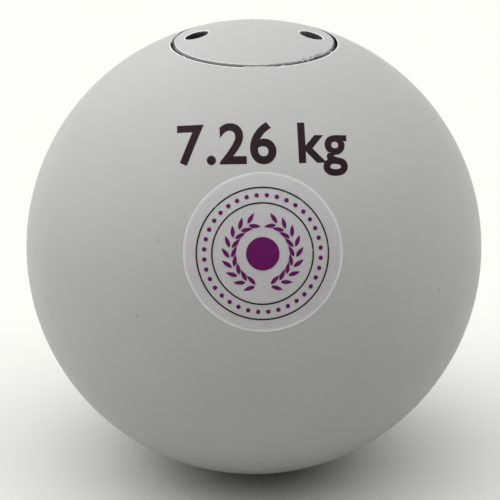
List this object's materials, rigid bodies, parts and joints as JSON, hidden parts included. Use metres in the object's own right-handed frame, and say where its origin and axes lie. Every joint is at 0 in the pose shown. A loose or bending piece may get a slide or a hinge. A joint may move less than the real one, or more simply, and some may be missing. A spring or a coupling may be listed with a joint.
{
  "type": "shot put ball",
  "caption": "Turned steel ball filled with lead, closed by a screw plug with pin-spanner holes, for the shot put.",
  "frame": {"origin": "centre of the ball", "axes": "+Z along the closing plug's axis, out of the ball; the label looks towards -Y; the two spanner holes lie along X"},
  "size_m": [0.12, 0.1204, 0.12],
  "materials": {
    "silver_grey_paint": "satin",
    "black_rubber": "matte",
    "cast_lead": "matte",
    "clear_film": "satin",
    "purple_ink": "satin",
    "dark_ink": "satin"
  },
  "bodies": {
    "ball": {"shell": "silver_grey_paint", "lead_core": "cast_lead", "trim_disc_thin": "cast_lead", "trim_disc_middle": "cast_lead", "trim_disc_thick": "cast_lead", "packing_disc": "black_rubber", "round_label": "clear_film"},
    "seal": {"seal_ring": "black_rubber"},
    "plug": {"closing_plug": "silver_grey_paint"}
  },
  "joints": [
    {"name": "plug_lift", "type": "slide", "parent": "ball", "child": "seal", "axis": [0, 0, 1], "range_m": [0, 0.0115]},
    {"name": "plug_turn", "type": "hinge", "parent": "seal", "child": "plug", "pos_m": [0, 0, 0.04974], "axis": [0, 0, 1], "range_deg": [0, 2070]}
  ],
  "couplings": [
    {"joint": "plug_lift", "follows": "plug_turn", "m_per_rad": 0.0003183}
  ]
}
